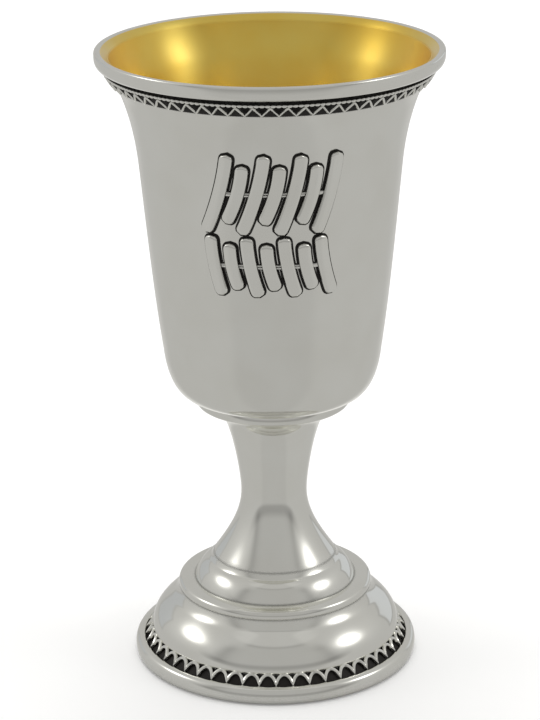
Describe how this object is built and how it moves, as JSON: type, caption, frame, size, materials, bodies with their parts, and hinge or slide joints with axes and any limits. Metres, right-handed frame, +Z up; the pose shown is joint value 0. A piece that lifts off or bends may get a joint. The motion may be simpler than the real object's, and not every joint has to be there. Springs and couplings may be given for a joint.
{
  "type": "kiddush cup",
  "caption": "Stemmed silver wine cup with a flared gilt-lined bowl, stepped round foot, wire-trimmed lip and base and raised strokes on the front.",
  "frame": {"origin": "centre of the foot's underside, on the surface the cup stands on", "axes": "+Z up along the cup's axis, -Y towards the front with the raised strokes, +X to the right seen from the front"},
  "size_m": [0.07, 0.07, 0.1305],
  "materials": {
    "bowl_silver": "polished sterling silver outside, satin gold plating inside, blackened behind the lip's wires",
    "silver": "polished sterling silver",
    "wire_silver": "polished crests on blackened silver wire",
    "strokes_silver": "polished silver faces with blackened edges"
  },
  "bodies": {
    "root": {"bowl": "bowl_silver", "stem_and_foot": "silver", "lip_wire": "silver", "lip_milled_wire": "wire_silver", "lip_crimped_wire": "wire_silver", "foot_crimped_wire": "wire_silver", "foot_wire": "silver", "raised_strokes": "strokes_silver"}
  },
  "joints": []
}
